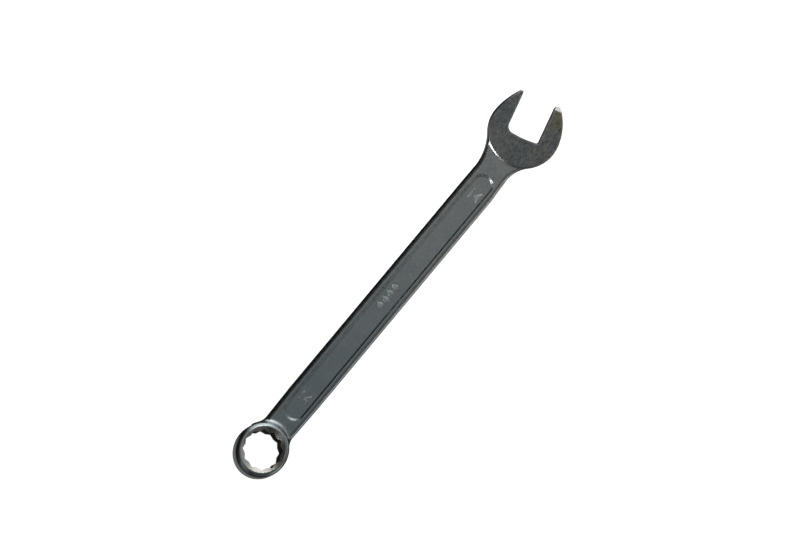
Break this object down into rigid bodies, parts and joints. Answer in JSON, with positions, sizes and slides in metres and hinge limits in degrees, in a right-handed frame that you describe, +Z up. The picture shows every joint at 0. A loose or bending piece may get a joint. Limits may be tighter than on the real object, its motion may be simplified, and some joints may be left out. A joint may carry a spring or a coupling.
{
  "type": "combination wrench",
  "caption": "Combination wrench with a tilted bi-hexagon box end, a long bar shank with a sunk panel on each face, and an angled open end.",
  "frame": {"origin": "under the middle of the tool, on the surface that it lies on", "axes": "+X along the shank from the box end to the open end, +Z up out of the front face, +Y across the tool"},
  "size_m": [0.1919, 0.029, 0.0148],
  "materials": {
    "plated_ring_steel": "satin plating, brighter on the rim and in the bore",
    "satin_shank_steel": "dark satin plating over a forged surface",
    "ground_head_steel": "ground faces with a fine grain"
  },
  "bodies": {
    "root": {"box_end_ring": "plated_ring_steel", "shank": "satin_shank_steel", "open_end_head": "ground_head_steel"}
  },
  "joints": []
}
